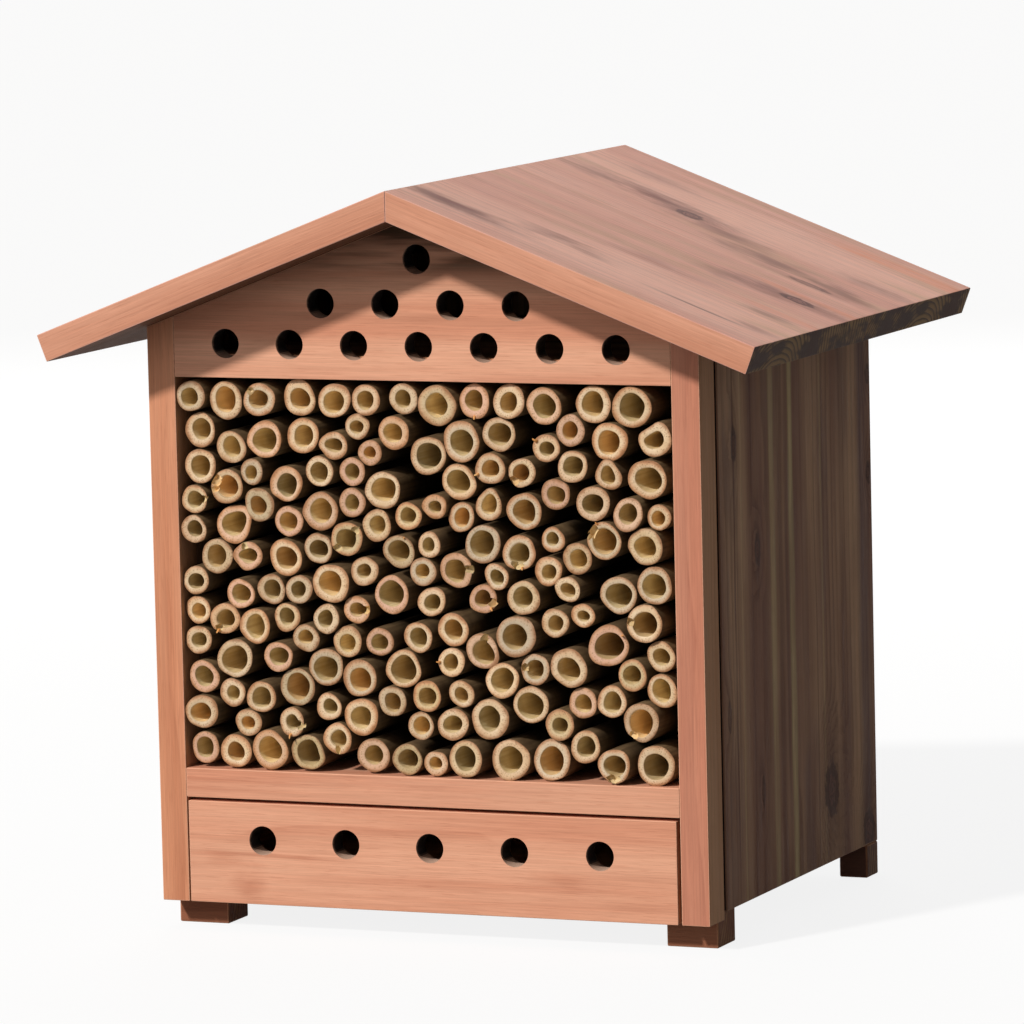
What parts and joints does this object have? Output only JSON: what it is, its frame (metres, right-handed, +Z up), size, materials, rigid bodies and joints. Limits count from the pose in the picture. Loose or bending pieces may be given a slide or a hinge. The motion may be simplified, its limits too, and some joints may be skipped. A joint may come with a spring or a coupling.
{
  "type": "bee hotel",
  "caption": "Cedar bee hotel with an overhanging gabled roof, a drilled gable, a bay of hollow bamboo canes and a sliding drawer with drilled entry holes, on feet.",
  "frame": {"origin": "on the ground, under the middle of the roof's box", "axes": "+X to the right seen from the front, +Y from the drilled front to the back, +Z up"},
  "size_m": [0.323, 0.267, 0.3179],
  "materials": {
    "cedar_front": "planed cedar, light salmon brown",
    "cedar_panel": "planed cedar, reddish brown with streaks",
    "cedar_roof": "planed cedar, slightly weathered",
    "cedar_inside": "unfinished sawn cedar",
    "thin_plywood": "thin plywood",
    "bamboo_cane": "sawn bamboo, pale tan",
    "steel_fastener": "zinc-plated steel"
  },
  "bodies": {
    "case": {"attic_floor": "cedar_inside", "back_left_foot": "cedar_front", "back_panel": "cedar_panel", "back_panel_screws": "steel_fastener", "back_right_foot": "cedar_front", "base_board": "cedar_inside", "cane_row_01": "bamboo_cane", "cane_row_02": "bamboo_cane", "cane_row_03": "bamboo_cane", "cane_row_04": "bamboo_cane", "cane_row_05": "bamboo_cane", "cane_row_06": "bamboo_cane", "cane_row_07": "bamboo_cane", "cane_row_08": "bamboo_cane", "cane_row_09": "bamboo_cane", "cane_row_10": "bamboo_cane", "cane_row_11": "bamboo_cane", "cane_row_12": "bamboo_cane", "cane_shelf": "cedar_front", "foot_screws": "steel_fastener", "front_left_foot": "cedar_front", "front_right_foot": "cedar_front", "gable_front": "cedar_front", "left_back_roof_board": "cedar_roof", "left_front_roof_board": "cedar_roof", "left_side_panel": "cedar_panel", "left_stile": "cedar_front", "right_back_roof_board": "cedar_roof", "right_front_roof_board": "cedar_roof", "right_side_panel": "cedar_panel", "right_stile": "cedar_front"},
    "drawer": {"drawer_front": "cedar_front", "left_drawer_side": "cedar_inside", "right_drawer_side": "cedar_inside", "drawer_back": "cedar_inside", "drawer_bottom": "thin_plywood", "drawer_brads": "steel_fastener"}
  },
  "joints": [
    {"name": "drawer_slide", "type": "slide", "parent": "case", "child": "drawer", "axis": [0, -1, 0], "range_m": [0, 0.15]}
  ]
}
